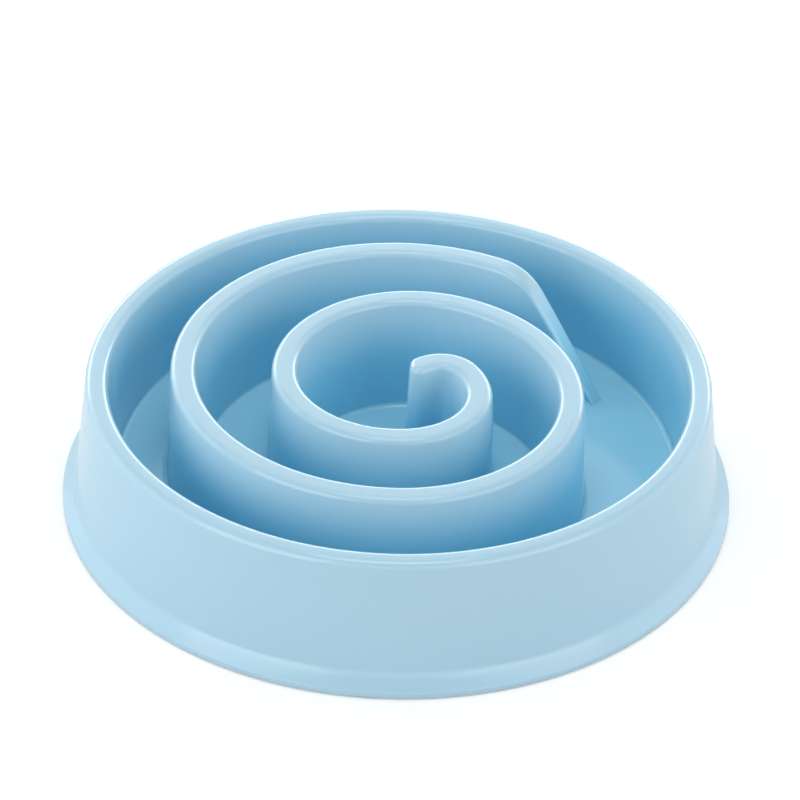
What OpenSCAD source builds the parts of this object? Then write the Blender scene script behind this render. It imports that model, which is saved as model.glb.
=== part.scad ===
// Slow feeder bowl: a round, moulded dish with a low, wide foot and one
// continuous spiral ridge that winds out from a small curl in the middle and
// runs down to the floor in a ramp. The moulding is a thin skin, open from
// below under its rim and its ridge, and it stands on four rubber feet.
// Its regions are drawn as separate solids that meet face to face.

/* [Foot flange] */
// Outer diameter of the foot flange
flange_d = 200; // [190:1:230]
// Height of the upright lip at the flange's edge
lip_h = 2; // [1:0.1:3]
// Height at which the flared flange runs into the outer wall
flare_h = 5.8; // [5:0.1:7]

/* [Bowl wall] */
// Diameter of the outer wall where the flange runs into it
wall_foot_d = 192; // [190:0.1:193.6]
// Diameter of the rim, measured outside
rim_d = 184.6; // [182:0.1:188]
// Diameter of the mouth inside the rim
mouth_d = 171.2; // [169:0.1:173]
// Diameter of the inner wall where its base fillet starts
wall_base_d = 168; // [166:0.1:169]
// Height of the rim above the flange's underside
bowl_h = 41; // [36:0.5:44]
// Radius of the rim's two rounded edges
rim_round = 2.4; // [1.5:0.1:3]
// Thickness of the moulded skin
skin = 2.2; // [1.8:0.1:2.4]

/* [Floor] */
// Height of the floor's upper face above the flange's underside
floor_h = 7.5; // [7.2:0.1:9]
// Thickness of the floor
floor_t = 2.3; // [1.8:0.1:2.5]
// Radius of the fillets between the floor and what stands on it
base_round = 2; // [1:0.1:2.2]

/* [Spiral ridge] */
// Height of the ridge's top above the flange's underside
ridge_h = 44.5; // [38:0.5:48]
// Width of the ridge at the start of its rounded top edges
ridge_w = 7.5; // [7:0.1:8]
// Radius of the ridge's rounded top edges
ridge_round = 1.9; // [1:0.1:2.2]
// Draft of the ridge's two flanks, in degrees
ridge_draft = 2.5; // [1.5:0.1:2.8]
// Thickness of the ridge's skin
ridge_skin = 2.1; // [1.8:0.1:2.3]
// Length of the ridge's straight start in the middle
curl_lead = 3.9; // [3:0.1:4.5]
// Centre line radius of the curl's bend
curl_bend_r = 9; // [8.6:0.1:9.6]
// Centre line radius of the curl's outer side
curl_side_r = 21.5; // [21:0.1:22.5]
// Centre line radius where the curl runs into the inner turn
curl_exit_r = 25.3; // [24.8:0.1:25.8]
// Centre line radius of the inner turn's first part
turn_entry_r = 33; // [32.5:0.1:33.5]
// Centre line radius of the inner turn
inner_turn_r = 38; // [37.5:0.1:38.5]
// Centre line radius of the crossing from the inner to the outer turn
crossing_r = 50.5; // [50:0.1:51]
// Centre line radius of the outer turn
outer_turn_r = 63.5; // [63:0.1:64]

/* [Ramp] */
// Steepness of the ramp down to the floor, in degrees from level
ramp_slope = 53.5; // [45:0.5:58]
// Radius over which the ridge's top bends down into the ramp
ramp_crest_r = 8; // [6:0.5:10]
// Radius over which the ramp runs out on the floor
ramp_foot_r = 4; // [3:0.5:6]
// Centre line radius of the ridge along the ramp, nearly straight
ramp_turn_r = 300; // [250:10:400]

/* [Rubber feet] */
// Diameter of each rubber foot
pad_d = 10; // [9:0.5:10.5]
// Height that the feet lift the flange above the surface
pad_drop = 0.6; // [0.4:0.1:1]
// Diameter of the circle on which the feet are set
pad_ring_d = 151; // [149:0.5:152]
// Thickness of a foot's round pad
pad_t = 1.8; // [1.4:0.1:2.2]
// Diameter of a foot's stem
stem_d = 5.6; // [4:0.1:6]
// Length of a foot's stem
stem_l = 2.8; // [2:0.1:3]

/* [Hidden] */

// Place of the curl bend's centre, from the bowl's axis
curl_x = 12.6;
curl_y = -6.3;
// Clearance between a foot's stem and the wall of its socket
stem_gap = 0.1;
// Depth left free in the socket beyond a foot's stem
socket_spare = 0.3;
// Width of the boss past the edge of the foot's pad
boss_margin = 0.5;
// Overrun of every cut past the face that it opens
overrun = 1;
// Radius of the foot flange's rounded edge
lip_round = 0.6;
// Radius of the rounded edge on a foot's pad
pad_round = 0.4;
// Height at which the ramp's toe ends above the floor
ramp_toe = 0.3;

// Direction of the normal where the ridge starts, and the turn of each arc
start_dir = 119;
turn_sweep = [84.4, 94.6, 22, 88, 120, 160, 211.5];
turn_r = [curl_bend_r, curl_side_r, curl_exit_r, turn_entry_r, inner_turn_r,
    crossing_r, outer_turn_r, ramp_turn_r];
// Directions of the four feet about the bowl's axis
pad_dir = [15, 105, 195, 285];

// Facets of the round forms, steps of the small fillets and of the ramp
$fn = 180;
fillet_steps = 5;
ramp_steps = 30;
core_steps = 16;
// Turn between two points of the floor's opening, in degrees
slot_step = 4;

flange_r = flange_d / 2;
wall_foot_r = wall_foot_d / 2;
rim_r = rim_d / 2;
mouth_r = mouth_d / 2;
wall_base_r = wall_base_d / 2;
// Height where the wall's two faces run into the rim's rounding
shoulder_h = bowl_h - rim_round;
floor_low = floor_h - floor_t;
plate_r = wall_base_r - base_round;

// Half widths of the ridge at its crest's rounding, at its fillet and at its foot
crest_half = ridge_w / 2;
crest_h = ridge_h - ridge_round;
fillet_top_h = floor_h + base_round;
function half_at(h) = crest_half + (crest_h - h) * tan(ridge_draft);
foot_half = half_at(fillet_top_h) + base_round;
// Space inside the ridge
core_top_h = ridge_h - ridge_skin;

function arc_pts(cx, cy, r, from, to) =
    [for (i = [0:fillet_steps]) let (a = from + (to - from) * i / fillet_steps)
        [cx + r * cos(a), cy + r * sin(a)]];
function flipped(list) = [for (i = [len(list) - 1:-1:0]) [-list[i][0], list[i][1]]];

// Outer half of the ridge's section at a top height h, from foot to middle
function flank_pts(h) =
    let (low_r = min(base_round, (h - floor_h) / 2), top_r = min(ridge_round, (h - floor_h) / 2))
    concat([[foot_half, floor_low]],
        arc_pts(foot_half, floor_h + low_r, low_r, 270, 180),
        arc_pts(min(half_at(h - top_r), foot_half - low_r) - top_r, h - top_r, top_r, 0, 90));
function solid_section(h) = concat(flank_pts(h), flipped(flank_pts(h)));

// Inner outline of the ridge's skin, from one foot over the top to the other
function core_section(top_h, low_h) =
    let (top = half_at(top_h) - ridge_skin, low = half_at(low_h) - ridge_skin)
    [[-low, low_h], [-top, top_h], [top, top_h], [low, low_h]];
function ridge_section() = concat(solid_section(ridge_h), core_section(core_top_h, floor_low));

// The ridge winds out clockwise on arcs that each start in line with the last
function dir(a) = [cos(a), sin(a)];
function sum_to(list, n) = n <= 0 ? 0 : list[n - 1] + sum_to(list, n - 1);
function arc_dir(i) = start_dir - sum_to(turn_sweep, i);
function arc_centre(i) = i == 0 ? [curl_x, curl_y]
    : arc_centre(i - 1) + (turn_r[i - 1] - turn_r[i]) * dir(arc_dir(i));
function arc_start(i) = arc_centre(i) + turn_r[i] * dir(arc_dir(i));

// Side view of the ramp: a rounded crest, an even slope and a rounded foot
ramp_l = (ridge_h - floor_h) / tan(ramp_slope) + (ramp_crest_r + ramp_foot_r) * tan(ramp_slope / 2);
function fall(s, r) = s < r * sin(ramp_slope) ? sqrt(pow(r, 2) - pow(max(s, 0), 2))
    : r * cos(ramp_slope) - (s - r * sin(ramp_slope)) * tan(ramp_slope);
function run_out(s) = ramp_foot_r - fall(ramp_l - s, ramp_foot_r);
function ramp_h(s) = max(floor_h + ramp_toe,
    s < ramp_l / 2 ? ridge_h - ramp_crest_r + fall(s, ramp_crest_r) : floor_h + run_out(s));
core_crest_r = ramp_crest_r - ridge_skin;
function ramp_core_h(s) = ridge_h - ramp_crest_r + fall(s, core_crest_r);
// Length of the space inside the ramp, up to where it closes on the floor
core_l = (ridge_h - ramp_crest_r - floor_h) / tan(ramp_slope) + core_crest_r / sin(ramp_slope);

// Place of a section's point at a run s along the ramp
ramp_arc = len(turn_sweep);
function ramp_point(s, p) = let (a = arc_dir(ramp_arc) - s / ramp_turn_r * 180 / PI,
    q = arc_centre(ramp_arc) + (ramp_turn_r + p[0]) * dir(a)) [q[0], q[1], p[1]];

// Outline of the ridge's foot on the floor: its end, outer side and inner side
path_sweep = concat(turn_sweep, [ramp_l / ramp_turn_r * 180 / PI]);
corner_x = crest_half - ridge_round;
function foot_edge(side) = [for (i = [0:ramp_arc])
    let (n = ceil(path_sweep[i] / slot_step), grow = side > 0 ? 1 / cos(path_sweep[i] / n / 2) : 1)
    for (k = [0:n])
        arc_centre(i) + (turn_r[i] + side * foot_half) * grow * dir(arc_dir(i) - path_sweep[i] * k / n)];
function foot_end(side, from, to) = [for (k = [0:fillet_steps])
    let (p = [side * corner_x, curl_lead] + (foot_half - corner_x) / cos(45 / fillet_steps)
        * dir(from + (to - from) * k / fillet_steps))
    arc_start(0) + p[0] * dir(start_dir) + p[1] * dir(start_dir + 90)];
function ridge_footprint() = let (inner = foot_edge(-1))
    concat(foot_end(-1, 180, 90), foot_end(1, 90, 0), foot_edge(1),
        [for (i = [len(inner) - 1:-1:0]) inner[i]]);

// A body lofted over sections that all have the same number of points
module lofted(rings) {
    count = len(rings[0]);
    last = len(rings) - 1;
    sides = [for (k = [0:last - 1], j = [0:count - 1]) let (n = (j + 1) % count)
        each [[k * count + j, k * count + n, (k + 1) * count + n],
            [k * count + j, (k + 1) * count + n, (k + 1) * count + j]]];
    first_face = [for (j = [count - 1:-1:0]) j];
    last_face = [for (j = [0:count - 1]) last * count + j];
    polyhedron([for (ring = rings) each ring], concat(sides, [first_face, last_face]));
}

// A ring turned from an outline of radius and height
module turned(points) {
    rotate_extrude()
        polygon(points);
}

// The moulding's underside lies above the surface by the drop of the feet
module lifted() {
    translate([0, 0, pad_drop])
        children();
}

// Start of one arc of the ridge: across is X and back along the path is Y
module at_joint(i) {
    translate([arc_start(i)[0], arc_start(i)[1], 0])
        rotate([0, 0, arc_dir(i)])
            children();
}

// An arc of the ridge that ends at this joint
module arc_back(i) {
    translate([-turn_r[i], 0, 0])
        rotate_extrude(angle = turn_sweep[i])
            translate([turn_r[i], 0])
                polygon(ridge_section());
}

// An arc of the ridge that starts at this joint
module arc_on(i) {
    mirror([0, 1, 0])
        arc_back(i);
}

module foot_flange() {
    color("lightblue") lifted() turned(concat(
        [[flange_r - skin, 0]],
        arc_pts(flange_r - lip_round, lip_round, lip_round, 270, 360),
        arc_pts(flange_r - lip_round, lip_h - lip_round, lip_round, 0, 60),
        [[wall_foot_r, flare_h], [wall_foot_r - skin, flare_h],
            [flange_r - skin, lip_h - lip_round]]));
}

module outer_skirt() {
    color("lightblue") lifted() turned([
        [wall_foot_r, flare_h], [rim_r, shoulder_h],
        [rim_r - skin, shoulder_h], [wall_foot_r - skin, flare_h]]);
}

module rim_bead() {
    color("lightblue") lifted() turned(concat(
        arc_pts(rim_r - rim_round, shoulder_h, rim_round, 0, 90),
        arc_pts(mouth_r + rim_round, shoulder_h, rim_round, 90, 180)));
}

module inner_wall() {
    color("skyblue") lifted() turned(concat(
        [[plate_r, floor_low], [wall_base_r + skin, floor_low],
            [mouth_r + skin, shoulder_h], [mouth_r, shoulder_h]],
        arc_pts(plate_r, fillet_top_h, base_round, 360, 270)));
}

module floor_plate() {
    color("skyblue") lifted() difference() {
        translate([0, 0, floor_low])
            cylinder(r = plate_r, h = floor_t);
        translate([0, 0, floor_low - overrun])
            linear_extrude(height = floor_t + 2 * overrun)
                polygon(ridge_footprint());
    }
}

// The ridge's closed end: an upright face between two rounded corners
module spiral_tip() {
    outline = concat([[0, floor_low]], [for (p = flank_pts(ridge_h)) [p[0] - corner_x, p[1]]]);
    color("skyblue") lifted() at_joint(0) {
        translate([0, curl_lead, 0])
            rotate([90, 0, 0])
                linear_extrude(height = curl_lead)
                    polygon(ridge_section());
        for (side = [0, 1])
            translate([(1 - 2 * side) * corner_x, curl_lead, 0])
                rotate([0, 0, 90 * side])
                    rotate_extrude(angle = 90)
                        polygon(outline);
        translate([-corner_x, curl_lead, 0])
            rotate([90, 0, 90])
                linear_extrude(height = 2 * corner_x)
                    polygon(outline);
    }
}

module spiral_curl() {
    color("skyblue") lifted() at_joint(1) {
        arc_back(0);
        arc_on(1);
    }
}

module spiral_inner_front() {
    color("skyblue") lifted() at_joint(3) {
        arc_back(2);
        arc_on(3);
    }
}

module spiral_inner_back() {
    color("skyblue") lifted() at_joint(4) arc_on(4);
}

module spiral_crossing() {
    color("skyblue") lifted() at_joint(5) arc_on(5);
}

module spiral_outer_turn() {
    color("skyblue") lifted() at_joint(6) arc_on(6);
}

module spiral_ramp() {
    color("skyblue") lifted() difference() {
        lofted([for (i = [0:ramp_steps]) let (s = ramp_l * i / ramp_steps)
            [for (p = solid_section(ramp_h(s))) ramp_point(s, p)]]);
        lofted([for (i = [0:core_steps]) let (s = (core_l + overrun) * i / core_steps - overrun)
            [for (p = core_section(ramp_core_h(s), floor_low - overrun)) ramp_point(s, p)]]);
    }
}

// Places something on the circle of the feet
module at_foot(i) {
    rotate([0, 0, pad_dir[i]])
        translate([pad_ring_d / 2, 0, 0])
            children();
}

module foot_boss(i) {
    color("lightblue") at_foot(i) difference() {
        translate([0, 0, pad_t])
            cylinder(r = pad_d / 2 + boss_margin, h = pad_drop + floor_low - pad_t);
        translate([0, 0, pad_t - overrun])
            cylinder(r = stem_d / 2 + stem_gap, h = stem_l + socket_spare + overrun);
    }
}

module rubber_foot(i) {
    color("dimgray") at_foot(i) turned(concat(
        [[0, 0]],
        arc_pts(pad_d / 2 - pad_round, pad_round, pad_round, 270, 360),
        [[pad_d / 2, pad_t], [stem_d / 2, pad_t], [stem_d / 2, pad_t + stem_l], [0, pad_t + stem_l]]));
}

foot_flange();
outer_skirt();
rim_bead();
inner_wall();
floor_plate();
spiral_tip();
spiral_curl();
spiral_inner_front();
spiral_inner_back();
spiral_crossing();
spiral_outer_turn();
spiral_ramp();
foot_boss(0);  // foot_boss_right
foot_boss(1);  // foot_boss_rear
foot_boss(2);  // foot_boss_left
foot_boss(3);  // foot_boss_front
rubber_foot(0);  // rubber_foot_right
rubber_foot(1);  // rubber_foot_rear
rubber_foot(2);  // rubber_foot_left
rubber_foot(3);  // rubber_foot_front
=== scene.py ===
# The slow feeder bowl on its four rubber feet. All the sizes below are in
# metres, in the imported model's own frame.
import math

import bpy
from mathutils import Matrix, Vector


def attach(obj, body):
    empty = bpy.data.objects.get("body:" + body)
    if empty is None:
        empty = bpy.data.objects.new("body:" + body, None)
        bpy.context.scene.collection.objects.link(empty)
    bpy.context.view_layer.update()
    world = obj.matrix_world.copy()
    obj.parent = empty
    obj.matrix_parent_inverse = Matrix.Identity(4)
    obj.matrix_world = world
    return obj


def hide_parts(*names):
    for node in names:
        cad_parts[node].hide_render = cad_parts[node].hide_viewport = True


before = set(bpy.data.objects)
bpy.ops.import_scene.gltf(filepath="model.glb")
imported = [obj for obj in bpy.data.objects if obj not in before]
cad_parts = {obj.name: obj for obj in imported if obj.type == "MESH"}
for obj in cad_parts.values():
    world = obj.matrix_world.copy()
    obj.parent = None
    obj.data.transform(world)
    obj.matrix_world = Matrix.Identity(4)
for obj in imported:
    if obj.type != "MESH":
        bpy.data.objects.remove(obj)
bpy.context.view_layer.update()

# The camera stands in front of the bowl and looks down on it through a long
# lens, a little turned about its own axis. It is measured from the underside
# of the moulding, which the rubber feet hold above the floor.
MM = 0.001
SENSOR_MM = 36.0
LENS_MM = 162.93
CAMERA_DISTANCE = 1089.649 * MM
CAMERA_PITCH = 0.613828
CAMERA_ROLL = -0.025313
CAMERA_ASIDE = -1.1121 * MM
CAMERA_BELOW = 25.4984 * MM
CAMERA_SEES = 20
FOOT_DROP = 0.6 * MM

sight = Vector((0, math.cos(CAMERA_PITCH), -math.sin(CAMERA_PITCH)))
level = Vector((1, 0, 0))
down = sight.cross(level)
right = level * math.cos(CAMERA_ROLL) + down * math.sin(CAMERA_ROLL)
down = down * math.cos(CAMERA_ROLL) - level * math.sin(CAMERA_ROLL)
eye = -(sight * CAMERA_DISTANCE + right * CAMERA_ASIDE + down * CAMERA_BELOW)
eye.z += FOOT_DROP
lens = bpy.data.cameras.new("camera")
lens.sensor_width = SENSOR_MM
lens.lens = LENS_MM
lens.clip_end = CAMERA_SEES
camera = bpy.data.objects.new("camera", lens)
turn = Matrix((right, -down, -sight)).transposed().to_4x4()
camera.matrix_world = Matrix.Translation(eye) @ turn
bpy.context.scene.collection.objects.link(camera)
bpy.context.scene.camera = camera

# The wall of the bowl: one line, drawn from the lip of the foot flange over
# the rim down to the floor and turned about the bowl's axis. It is the outer
# face of a moulded skin, which gets its thickness at the end.
FLANGE_R = 99.9 * MM
LIP_H = 1.9 * MM
LIP_ROUND = 0.7 * MM
LIP_ARC_START = 9
LIP_ARC_END = 54
LIP_ARC_STEPS = 5
FLARE_R = 97.5 * MM
FLARE_H = 4.0 * MM
FLARE_BENDS = [(96.8 * MM, 4.7 * MM), (96.3 * MM, 5.5 * MM)]
WALL_FOOT_R = 96.0 * MM
WALL_FOOT_H = 6.4 * MM
RIM_R = 92.3 * MM
MOUTH_R = 85.6 * MM
WALL_BASE_R = 84.0 * MM
BOWL_H = 41 * MM
RIM_ROUND = 2.4 * MM
FLOOR_H = 7.5 * MM
BASE_ROUND = 1.5 * MM
EDGE_HOLD = 0.4 * MM
WALL_STEPS = 300
MERGE_GAP = 0.01 * MM


def arc(x, z, radius, start, end, steps=8):
    """Points of an arc about (x, z), from one direction to another in degrees."""
    turns = [math.radians(start + (end - start) * i / steps) for i in range(steps + 1)]
    return [(x + radius * math.cos(t), z + radius * math.sin(t)) for t in turns]


def towards(a, b, length):
    """The point a short length from a on the way to b."""
    run = math.dist(a, b)
    return tuple(p + (q - p) * length / run for p, q in zip(a, b))


def only(obj):
    """Makes this the one object that is selected and worked on."""
    if bpy.context.mode != "OBJECT":
        bpy.ops.object.mode_set(mode="OBJECT")
    bpy.ops.object.select_all(action="DESELECT")
    obj.select_set(True)
    bpy.context.view_layer.objects.active = obj


def draw_line(name, points):
    """A new object with one line through these points, left in edit mode."""
    bpy.ops.object.select_all(action="DESELECT")
    bpy.ops.mesh.primitive_plane_add(size=MM, location=(0, 0, 0))
    line = bpy.context.object
    line.name = name
    bpy.ops.object.mode_set(mode="EDIT")
    bpy.ops.mesh.select_all(action="SELECT")
    bpy.ops.mesh.merge(type="CENTER")
    bpy.ops.transform.translate(value=points[0])
    for a, b in zip(points, points[1:]):
        bpy.ops.mesh.extrude_region_move(TRANSFORM_OT_translate={"value": Vector(b) - Vector(a)})
    return line


flare = (FLARE_R, FLARE_H)
wall_foot = (WALL_FOOT_R, WALL_FOOT_H)
shoulder = (RIM_R, BOWL_H - RIM_ROUND)
mouth = (MOUTH_R, BOWL_H - RIM_ROUND)
wall_base = (WALL_BASE_R, FLOOR_H + BASE_ROUND)
rim_out = arc(RIM_R - RIM_ROUND, BOWL_H - RIM_ROUND, RIM_ROUND, 0, 90)
rim_in = arc(MOUTH_R + RIM_ROUND, BOWL_H - RIM_ROUND, RIM_ROUND, 90, 180)
wall_line = [(FLANGE_R, 0), (FLANGE_R, LIP_H - LIP_ROUND)]
wall_line += arc(FLANGE_R - LIP_ROUND, LIP_H - LIP_ROUND, LIP_ROUND,
                 LIP_ARC_START, LIP_ARC_END, LIP_ARC_STEPS)
wall_line += [towards(flare, wall_line[-1], EDGE_HOLD), flare, *FLARE_BENDS, wall_foot,
              towards(wall_foot, shoulder, EDGE_HOLD), towards(shoulder, wall_foot, EDGE_HOLD)]
wall_line += rim_out + [towards(rim_out[-1], rim_in[0], EDGE_HOLD),
                        towards(rim_in[0], rim_out[-1], EDGE_HOLD)] + rim_in
wall_line += [towards(mouth, wall_base, EDGE_HOLD), towards(wall_base, mouth, EDGE_HOLD)]
wall_line += arc(WALL_BASE_R - BASE_ROUND, FLOOR_H + BASE_ROUND, BASE_ROUND, 0, -90)
wall_line.append((WALL_BASE_R - BASE_ROUND - EDGE_HOLD, FLOOR_H))

bowl = draw_line("bowl_moulding", [(r, 0, z + FOOT_DROP) for r, z in wall_line])
bpy.ops.mesh.select_all(action="SELECT")
bpy.ops.mesh.spin(steps=WALL_STEPS, angle=2 * math.pi, center=(0, 0, 0), axis=(0, 0, 1))
bpy.ops.mesh.select_all(action="SELECT")
bpy.ops.mesh.remove_doubles(threshold=MERGE_GAP)
bpy.ops.object.mode_set(mode="OBJECT")

# The spiral ridge: its section is drawn once and turned about one centre
# after another, each arc in line with the last, from the curl in the middle
# out to the ramp. It is part of the same moulding.
RIDGE_H = 44.5 * MM
CREST_HALF = 3.75 * MM
RIDGE_ROUND = 2.1 * MM
RIDGE_DRAFT = math.radians(2.5)
ROUND_SHARE = 0.45
HOLD_SHARE = 0.04
HOLD_LEAN = 0.02
CURL_CENTRE = Vector((12.6 * MM, -5.31 * MM, 0))
CURL_HALF = 3.9 * MM
START_DIR = 120.2
END_DIR = 180
END_LEAD = 1.9 * MM
END_OUTER_ROUND = 3.4 * MM
END_INNER_ROUND = 2.7 * MM
END_STEPS = 14
ARC_RADII = [8.39 * MM, 21.94 * MM, 24 * MM, 33 * MM, 38 * MM, 50.5 * MM, 63.5 * MM]
ARC_SWEEPS = [84.6, 96.95, 20.65, 88, 120, 160, 208.9]
CURL_ARCS = 2
ARC_STEP = 1.0 * MM
ARC_LEAST_STEPS = 16
RAMP_SLOPE = math.radians(51.7)
RAMP_CREST_R = 16.7 * MM
RAMP_FOOT_R = 0.5 * MM
RAMP_TURN_R = 200 * MM
RAMP_TOE_HALF = 2.3 * MM
RAMP_STEPS = 64
RIDGE_MERGE_GAP = 0.005 * MM
ramp_l = ((RIDGE_H - FLOOR_H) / math.tan(RAMP_SLOPE)
          + (RAMP_CREST_R + RAMP_FOOT_R) * math.tan(RAMP_SLOPE / 2))


def flank(top, half):
    """Right half of the ridge's section from the floor up, for a top at this height and half width."""
    rise = top - FLOOR_H
    low = min(BASE_ROUND, ROUND_SHARE * rise)
    high = min(RIDGE_ROUND, ROUND_SHARE * rise, half - 2 * EDGE_HOLD)
    hold = min(EDGE_HOLD, HOLD_SHARE * rise)
    crest = (half, top - high)
    base = (half + (rise - high - low) * math.tan(RIDGE_DRAFT), FLOOR_H + low)
    foot = base[0] + low
    lean = (base[0] - crest[0]) * HOLD_LEAN
    points = [(foot + EDGE_HOLD, FLOOR_H)]
    points += arc(foot, FLOOR_H + low, low, 270, 180)
    points += [(base[0] - lean, base[1] + hold), (crest[0] + lean, crest[1] - hold)]
    points += arc(crest[0] - high, crest[1], high, 0, 90)
    return points + [(crest[0] - high - EDGE_HOLD, top)]


def direction(degrees):
    """The level direction at this angle from the bowl's right, as seen from above."""
    return Vector((math.cos(math.radians(degrees)), math.sin(math.radians(degrees)), 0))


def column(top, half, edge, normal):
    """One flank, from the floor up to the top, stood up at a place on the ridge's edge."""
    return [edge + normal * (x - half) + Vector((0, 0, z + FOOT_DROP)) for x, z in flank(top, half)]


def section(top, half, foot, degrees):
    """The ridge's whole section at a place on its path, from the outer foot to the inner foot."""
    across = direction(degrees)
    outer = column(top, half, foot + across * half, across)
    inner = column(top, half, foot - across * half, -across)
    return outer + inner[::-1]


def ramp_top(run):
    """Height of the ramp at a run from its start: a round crest, a slope and a round foot."""
    crest_run = RAMP_CREST_R * math.sin(RAMP_SLOPE)
    foot_run = RAMP_FOOT_R * math.sin(RAMP_SLOPE)
    if run < crest_run:
        return RIDGE_H - RAMP_CREST_R + math.sqrt(RAMP_CREST_R ** 2 - run ** 2)
    if run > ramp_l - foot_run:
        return FLOOR_H + RAMP_FOOT_R - math.sqrt(max(RAMP_FOOT_R ** 2 - (ramp_l - run) ** 2, 0))
    drop = RAMP_CREST_R * (1 - math.cos(RAMP_SLOPE))
    return RIDGE_H - drop - (run - crest_run) * math.tan(RAMP_SLOPE)


start = CURL_CENTRE + direction(START_DIR) * ARC_RADII[0]
back = direction(START_DIR + 90)


def end_side(side, lead, rounding):
    """Places and normals along one side of the ridge's end, round its corner to the end face."""
    first = START_DIR if side > 0 else START_DIR + 180
    edge = [(start + back * lead / 2 + direction(first) * CURL_HALF, direction(first))]
    corner = start + back * lead + direction(first) * (CURL_HALF - rounding)
    for k in range(END_STEPS + 1):
        normal = direction(first + (END_DIR - first) * k / END_STEPS)
        edge.append((corner + normal * rounding, normal))
    return edge


# The ridge starts in the middle of the bowl with a slanting end face between
# two rounded corners, so its inner side is longer there than its outer side.
corner_span = 2 * CURL_HALF - END_OUTER_ROUND - END_INNER_ROUND
slant = corner_span * math.cos(math.radians(END_DIR - START_DIR))
inner_lead = END_LEAD + (slant + END_OUTER_ROUND - END_INNER_ROUND) / back.dot(direction(END_DIR))
outer_edge = end_side(1, END_LEAD, END_OUTER_ROUND)
inner_edge = end_side(-1, inner_lead, END_INNER_ROUND)
middle = ((outer_edge[-1][0] + inner_edge[-1][0]) / 2, direction(END_DIR))
shapes = [column(RIDGE_H, CURL_HALF, *outer) + column(RIDGE_H, CURL_HALF, *inner)[::-1]
          for outer, inner in zip([middle] + outer_edge[::-1], [middle] + inner_edge[::-1])]

tip = start + back * len(shapes) * ARC_STEP
first_ring = section(RIDGE_H, CURL_HALF, tip, START_DIR)
ridge = draw_line("spiral_ridge", first_ring)
bpy.ops.mesh.select_all(action="SELECT")
ridge.update_from_editmode()
ring_order = [min(range(len(first_ring)), key=lambda j: (first_ring[j] - v.co).length)
              for v in ridge.data.vertices]
for k in range(len(shapes)):
    bpy.ops.mesh.extrude_region_move(TRANSFORM_OT_translate={"value": -back * ARC_STEP})
facing = START_DIR
centre = CURL_CENTRE.copy()
path = [(start, START_DIR)]
for i, (radius, sweep) in enumerate(zip(ARC_RADII, ARC_SWEEPS)):
    if i:
        centre = centre + direction(facing) * (ARC_RADII[i - 1] - radius)
    if i == CURL_ARCS:
        curl_rings = len(path)
    steps = max(ARC_LEAST_STEPS, math.ceil(math.radians(sweep) * radius / ARC_STEP))
    bpy.ops.mesh.spin(steps=steps, angle=math.radians(sweep), center=centre, axis=(0, 0, 1))
    turns = [facing - sweep * (k + 1) / steps for k in range(steps)]
    path += [(centre + direction(t) * radius, t) for t in turns]
    if i == CURL_ARCS:
        even_rings = len(path)
    facing -= sweep
centre = centre + direction(facing) * (ARC_RADII[-1] - RAMP_TURN_R)
bpy.ops.mesh.spin(steps=RAMP_STEPS, angle=ramp_l / RAMP_TURN_R, center=centre, axis=(0, 0, 1))
bpy.ops.object.mode_set(mode="OBJECT")

# The ridge is a little wider in the curl and narrows to its even width as it
# leaves it. Its last stretch is the ramp, whose sections are let down one
# after another and narrow again, until the last lies flat on the floor.
for k, (foot, at) in enumerate(path):
    ease = min(max((even_rings - k) / (even_rings - curl_rings), 0), 1)
    half = CREST_HALF + (CURL_HALF - CREST_HALF) * ease * ease * (3 - 2 * ease)
    shapes.append(section(RIDGE_H, half, foot, at))
for k in range(1, RAMP_STEPS + 1):
    run = ramp_l * k / RAMP_STEPS
    at = facing - math.degrees(run / RAMP_TURN_R)
    half = CREST_HALF + (RAMP_TOE_HALF - CREST_HALF) * k / RAMP_STEPS
    shapes.append(section(ramp_top(run), half, centre + direction(at) * RAMP_TURN_R, at))
for k, ring in enumerate(shapes):
    for j, which in enumerate(ring_order):
        ridge.data.vertices[k * len(ring_order) + j].co = ring[which]
only(ridge)
bpy.ops.object.mode_set(mode="EDIT")
bpy.ops.mesh.select_all(action="SELECT")
bpy.ops.mesh.remove_doubles(threshold=RIDGE_MERGE_GAP)
bpy.ops.mesh.dissolve_degenerate(threshold=MERGE_GAP)

# Wall and ridge are one moulding, so the floor between them is filled to both
# edges. The whole face then gets the thickness of the skin on its inner side,
# which leaves the ridge and the rim hollow from below.
SKIN = 1.8 * MM
SMOOTH_ANGLE = math.radians(40)
only(bowl)
ridge.select_set(True)
bpy.ops.object.join()
bpy.ops.object.mode_set(mode="EDIT")
bpy.ops.mesh.select_mode(type="EDGE")
bpy.ops.mesh.select_all(action="DESELECT")
bpy.ops.mesh.select_non_manifold(use_wire=False, use_multi_face=False, use_non_contiguous=False,
                                 use_verts=False)
bpy.ops.object.mode_set(mode="OBJECT")
floor_z = FLOOR_H + FOOT_DROP
for e in bowl.data.edges:
    if e.select and abs(bowl.data.vertices[e.vertices[0]].co.z - floor_z) > MERGE_GAP:
        e.select = False
bpy.ops.object.mode_set(mode="EDIT")
bpy.ops.mesh.fill(use_beauty=True)
bpy.ops.mesh.select_mode(type="VERT")
bpy.ops.mesh.select_all(action="SELECT")
bpy.ops.mesh.remove_doubles(threshold=RIDGE_MERGE_GAP)
bpy.ops.mesh.normals_make_consistent(inside=False)
bpy.ops.object.mode_set(mode="OBJECT")
skin = bowl.modifiers.new("skin", "SOLIDIFY")
skin.thickness = SKIN
skin.offset = -1
skin.use_even_offset = False
bpy.ops.object.modifier_apply(modifier=skin.name)
bpy.ops.object.shade_smooth_by_angle(angle=SMOOTH_ANGLE)

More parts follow.
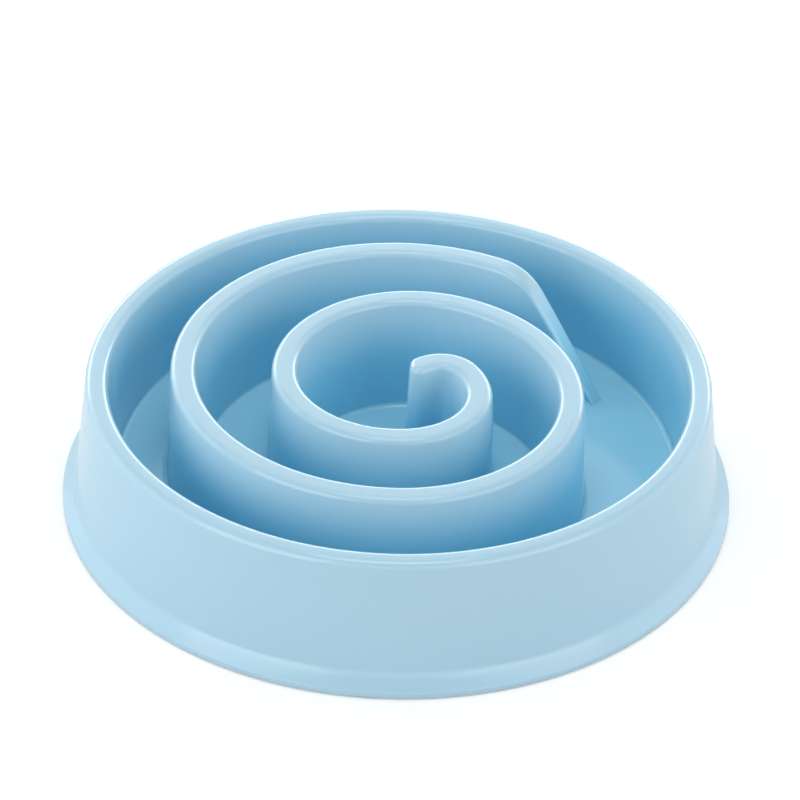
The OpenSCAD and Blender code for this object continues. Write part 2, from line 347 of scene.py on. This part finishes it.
# Glossy light blue polypropylene: faint clouding, a fine moulded skin and
# slight differences in gloss. Light and shade are painted into its blue inside
# the rim: paler high on the upright inner sides, deeper low down between them.
BODY = "root"
BLUE = (0.365, 0.575, 0.70, 1)
BLUE_PALE = (0.38, 0.585, 0.71, 1)
# Painted light: a paler blue for the upright faces inside the rim, high up on the inner sides.
BLUE_PAINTED_FLANK_LIGHT = (0.46, 0.71, 0.84, 1)
# Painted shade: a deeper blue for the upright inner sides low down. Painted bounce light: a richer,
# brighter blue for the floor between the ridges.
BLUE_PAINTED_SHADE = (0.19, 0.55, 0.76, 1)
BLUE_PAINTED_FLOOR_BOUNCE = (0.35, 0.72, 0.88, 1)
# Painted shade and bounce light are full below the first height and fade out by the second.
PAINTED_SHADE_FULL_H = 22 * MM
PAINTED_SHADE_END_H = 44.5 * MM
RIM_MIDDLE_R = 88.5 * MM
RIM_BLEND = 1 * MM
UPRIGHT_BELOW = -0.1
LEVEL_ABOVE = 0.5
CLOUD_SCALE = 18.0
CLOUD_DETAIL = 3.0
RIPPLE_SCALE = 420.0
RIPPLE_DETAIL = 2.0
RIPPLE_STRENGTH = 0.04
RIPPLE_DEPTH = 0.0002
PLASTIC_ROUGHNESS = 0.12
PLASTIC_ROUGHNESS_RANGE = 0.06
PLASTIC_IOR = 1.49
EASED = {"interpolation_type": "SMOOTHSTEP"}
COLOURS = {"data_type": "RGBA"}
FACTOR, COLOUR_A, COLOUR_B, MIXED = 0, 6, 7, 2        # a Mix node's sockets go by number


class Value:
    """A socket that Python's operators add Math nodes to."""

    def __init__(self, shader, socket):
        self.shader = shader
        self.socket = socket

    def math(self, operation, other):
        return self.shader.node("ShaderNodeMath", {"operation": operation}, [self, other])

    def __add__(self, other):
        return self.math("ADD", other)

    def __mul__(self, other):
        return self.math("MULTIPLY", other)

    __radd__ = __add__
    __rmul__ = __mul__


class Shader:
    """A material's nodes: node() adds one with its settings and inputs and gives its first output."""

    def __init__(self, name):
        self.material = bpy.data.materials.new(name)
        self.material.use_nodes = True
        self.tree = self.material.node_tree
        self.surface = self.tree.nodes["Principled BSDF"]

    def fill(self, node, inputs):
        pairs = inputs.items() if isinstance(inputs, dict) else enumerate(inputs)
        for name, value in pairs:
            if isinstance(value, Value):
                self.tree.links.new(value.socket, node.inputs[name])
            else:
                node.inputs[name].default_value = value

    def node(self, kind, settings, inputs, output=0):
        made = self.tree.nodes.new(kind)
        for name, value in settings.items():
            setattr(made, name, value)
        self.fill(made, inputs)
        return Value(self, made.outputs[output])


plastic = Shader("light_blue_plastic")
place = plastic.node("ShaderNodeTexCoord", {}, {}, "Object")
clouds = plastic.node("ShaderNodeTexNoise", {}, {
    "Vector": place, "Scale": CLOUD_SCALE, "Detail": CLOUD_DETAIL})
ripple = plastic.node("ShaderNodeTexNoise", {}, {
    "Vector": place, "Scale": RIPPLE_SCALE, "Detail": RIPPLE_DETAIL})
height = plastic.node("ShaderNodeSeparateXYZ", {}, [place], "Z")
flat = plastic.node("ShaderNodeVectorMath", {"operation": "MULTIPLY"}, [place, (1, 1, 0)])
from_axis = plastic.node("ShaderNodeVectorMath", {"operation": "LENGTH"}, [flat], "Value")
faces_up = plastic.node("ShaderNodeSeparateXYZ", {}, [
    plastic.node("ShaderNodeNewGeometry", {}, {}, "Normal")], "Z")
upright = plastic.node("ShaderNodeMapRange", EASED, {
    "Value": faces_up, "From Min": UPRIGHT_BELOW, "From Max": LEVEL_ABOVE,
    "To Min": 1.0, "To Max": 0.0})
# How far down inside the bowl the painted shade and painted bounce light reach.
painted_shade_depth = plastic.node("ShaderNodeMapRange", EASED, {
    "Value": height, "From Min": PAINTED_SHADE_FULL_H, "From Max": PAINTED_SHADE_END_H, "To Min": 1.0, "To Max": 0.0})
inside = plastic.node("ShaderNodeMapRange", {}, {
    "Value": from_axis, "From Min": RIM_MIDDLE_R - RIM_BLEND, "From Max": RIM_MIDDLE_R,
    "To Min": 1.0, "To Max": 0.0})
tint = plastic.node("ShaderNodeMix", COLOURS, {
    FACTOR: clouds, COLOUR_A: BLUE, COLOUR_B: BLUE_PALE}, MIXED)
# Painted light: the upright faces inside the rim take the paler blue.
painted_flank_light = plastic.node("ShaderNodeMix", COLOURS, {
    FACTOR: upright * inside, COLOUR_A: tint, COLOUR_B: BLUE_PAINTED_FLANK_LIGHT}, MIXED)
# Painted shade on the low upright inner sides, painted bounce light on the floor between the ridges.
painted_shade_and_bounce = plastic.node("ShaderNodeMix", COLOURS, {
    FACTOR: upright, COLOUR_A: BLUE_PAINTED_FLOOR_BOUNCE, COLOUR_B: BLUE_PAINTED_SHADE}, MIXED)
# The base colour carries the painted light and shade inside the rim.
blue = plastic.node("ShaderNodeMix", COLOURS, {
    FACTOR: painted_shade_depth * inside, COLOUR_A: painted_flank_light, COLOUR_B: painted_shade_and_bounce}, MIXED)
relief = plastic.node("ShaderNodeBump", {}, {
    "Strength": RIPPLE_STRENGTH, "Distance": RIPPLE_DEPTH, "Height": ripple})
plastic.fill(plastic.surface, {
    "Base Color": blue, "Roughness": PLASTIC_ROUGHNESS + clouds * PLASTIC_ROUGHNESS_RANGE,
    "Normal": relief, "IOR": PLASTIC_IOR})
bowl.data.materials.clear()
bowl.data.materials.append(plastic.material)
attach(bowl, BODY)
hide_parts("foot_flange", "outer_skirt", "rim_bead", "inner_wall", "floor_plate",
            "spiral_tip", "spiral_curl", "spiral_inner_front", "spiral_inner_back",
            "spiral_crossing", "spiral_outer_turn", "spiral_ramp")

# Under the floor four small bosses of the same moulding hold the stems of the
# rubber feet, which keep the bowl from sliding. The feet are dark grey rubber
# with a fine, dull grain.
RUBBER_DARK = (0.055, 0.058, 0.062, 1)
RUBBER_PALE = (0.085, 0.088, 0.092, 1)
RUBBER_ROUGHNESS = 0.65
RUBBER_ROUGHNESS_RANGE = 0.2
GRAIN_SCALE = 900.0
GRAIN_DETAIL = 4.0
GRAIN_STRENGTH = 0.3
GRAIN_DEPTH = 0.0001
rubber = Shader("grey_rubber")
grain_place = rubber.node("ShaderNodeTexCoord", {}, {}, "Object")
grain = rubber.node("ShaderNodeTexNoise", {}, {
    "Vector": grain_place, "Scale": GRAIN_SCALE, "Detail": GRAIN_DETAIL})
rubber_tint = rubber.node("ShaderNodeMix", COLOURS, {
    FACTOR: grain, COLOUR_A: RUBBER_DARK, COLOUR_B: RUBBER_PALE}, MIXED)
rubber_relief = rubber.node("ShaderNodeBump", {}, {
    "Strength": GRAIN_STRENGTH, "Distance": GRAIN_DEPTH, "Height": grain})
rubber.fill(rubber.surface, {
    "Base Color": rubber_tint, "Roughness": RUBBER_ROUGHNESS + grain * RUBBER_ROUGHNESS_RANGE,
    "Normal": rubber_relief})
for quarter in ("right", "rear", "left", "front"):
    for node, finish in ((f"foot_boss_{quarter}", plastic), (f"rubber_foot_{quarter}", rubber)):
        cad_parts[node].data.materials.clear()
        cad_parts[node].data.materials.append(finish.material)

# The studio: a paper floor that keeps the bowl's soft shadow and turns plain
# white away from it, a pale backdrop with a bright horizon behind the bowl
# for its gloss to mirror, and wide soft lamps all round.
FLOOR_SIZE = 8
FLOOR_GLOW = 0.15
FLOOR_NEAR = 0.15
FLOOR_FAR = 0.4
PAPER = (0.9, 0.9, 0.9, 1)
PAPER_ROUGHNESS = 0.9
WHITE = (1, 1, 1, 1)
SHADE_LIGHT = 0.08
HORIZON_LIGHT = 8.0
BACKDROP_LIGHT = 1.7
CEILING_LIGHT = 0.45
HORIZON_LOW = 0.08
HORIZON_START = 0.2
HORIZON_END = 0.45
REAR_START = 0.65
REAR_END = 0.8
BACKDROP_END = 0.54
CEILING_START = 0.65
NUMBER_A, NUMBER_B = 2, 3        # and so do those for its plain numbers
SOFTBOX_SIZE = 1.0
OVERHEAD_SIZE = 0.6
SOFTBOX_REACH = 1.2
bpy.ops.object.select_all(action="DESELECT")
bpy.ops.mesh.primitive_plane_add(size=FLOOR_SIZE, location=(0, 0, 0))
ground = bpy.context.object
ground.name = "studio_floor"
paper = Shader("white_paper")
paper_seen = paper.node("ShaderNodeLightPath", {}, {}, "Is Camera Ray")
away = paper.node("ShaderNodeVectorMath", {"operation": "LENGTH"}, [
    paper.node("ShaderNodeTexCoord", {}, {}, "Object")], "Value")
whiteness = paper.node("ShaderNodeMapRange", EASED, {
    "Value": away, "From Min": FLOOR_NEAR, "From Max": FLOOR_FAR,
    "To Min": FLOOR_GLOW, "To Max": 1.0})
paper.fill(paper.surface, {
    "Base Color": PAPER, "Roughness": PAPER_ROUGHNESS, "Specular IOR Level": 0.0,
    "Emission Color": WHITE, "Emission Strength": paper_seen * whiteness})
ground.data.materials.append(paper.material)


class WorldShader(Shader):
    """The same for the world, whose surface is its background."""

    def __init__(self, name):
        world = bpy.data.worlds.new(name)
        world.use_nodes = True
        bpy.context.scene.world = world
        self.tree = world.node_tree
        self.surface = self.tree.nodes["Background"]


studio = WorldShader("studio")
seen = studio.node("ShaderNodeLightPath", {}, {}, "Is Camera Ray")
glossy = studio.node("ShaderNodeLightPath", {}, {}, "Is Glossy Ray")
sky = studio.node("ShaderNodeTexCoord", {}, {}, "Generated")
up = studio.node("ShaderNodeSeparateXYZ", {}, [sky], "Z")
rear = studio.node("ShaderNodeSeparateXYZ", {}, [sky], "Y")
backdrop = studio.node("ShaderNodeMapRange", EASED, {
    "Value": up, "From Min": BACKDROP_END, "From Max": CEILING_START,
    "To Min": BACKDROP_LIGHT, "To Max": CEILING_LIGHT})
horizon = studio.node("ShaderNodeMapRange", EASED, {
    "Value": up, "From Min": HORIZON_START, "From Max": HORIZON_END,
    "To Min": HORIZON_LIGHT - BACKDROP_LIGHT, "To Max": 0.0})
above = studio.node("ShaderNodeMapRange", EASED, {
    "Value": up, "From Min": HORIZON_LOW, "From Max": HORIZON_START, "To Min": 0.0, "To Max": 1.0})
behind = studio.node("ShaderNodeMapRange", EASED, {
    "Value": rear, "From Min": REAR_START, "From Max": REAR_END, "To Min": 0.0, "To Max": 1.0})
lit = studio.node("ShaderNodeMix", {}, {
    FACTOR: glossy, NUMBER_A: SHADE_LIGHT, NUMBER_B: backdrop + horizon * above * behind})
shown = studio.node("ShaderNodeMix", {}, {FACTOR: seen, NUMBER_A: lit, NUMBER_B: 1.0})
studio.fill(studio.surface, {"Color": WHITE, "Strength": shown})


def softbox(name, around, raised, power, size=SOFTBOX_SIZE, mirrored=True):
    """A square lamp that looks at the bowl, at degrees round from the front to the left and up."""
    out = math.cos(math.radians(raised))
    to_lamp = Vector((-math.sin(math.radians(around)) * out, -math.cos(math.radians(around)) * out,
                      math.sin(math.radians(raised))))
    lamp = bpy.data.lights.new(name, "AREA")
    lamp.size = size
    lamp.energy = power
    box = bpy.data.objects.new(name, lamp)
    turned = to_lamp.to_track_quat("Z", "Y").to_matrix().to_4x4()
    box.matrix_world = Matrix.Translation(to_lamp * SOFTBOX_REACH) @ turned
    box.visible_glossy = mirrored
    bpy.context.scene.collection.objects.link(box)


softbox("front_left", around=45, raised=21, power=6.1)
softbox("left", around=90, raised=20, power=5.7, mirrored=False)
softbox("rear_left", around=135, raised=40, power=4.2, mirrored=False)
softbox("rear", around=180, raised=50, power=1.05)
softbox("rear_right", around=225, raised=40, power=4.1, mirrored=False)
softbox("right", around=270, raised=28, power=4.4, mirrored=False)
softbox("front_right", around=315, raised=21, power=5.0)
softbox("overhead", around=0, raised=80, power=3.6, size=OVERHEAD_SIZE)
bpy.context.scene.view_settings.view_transform = "Standard"
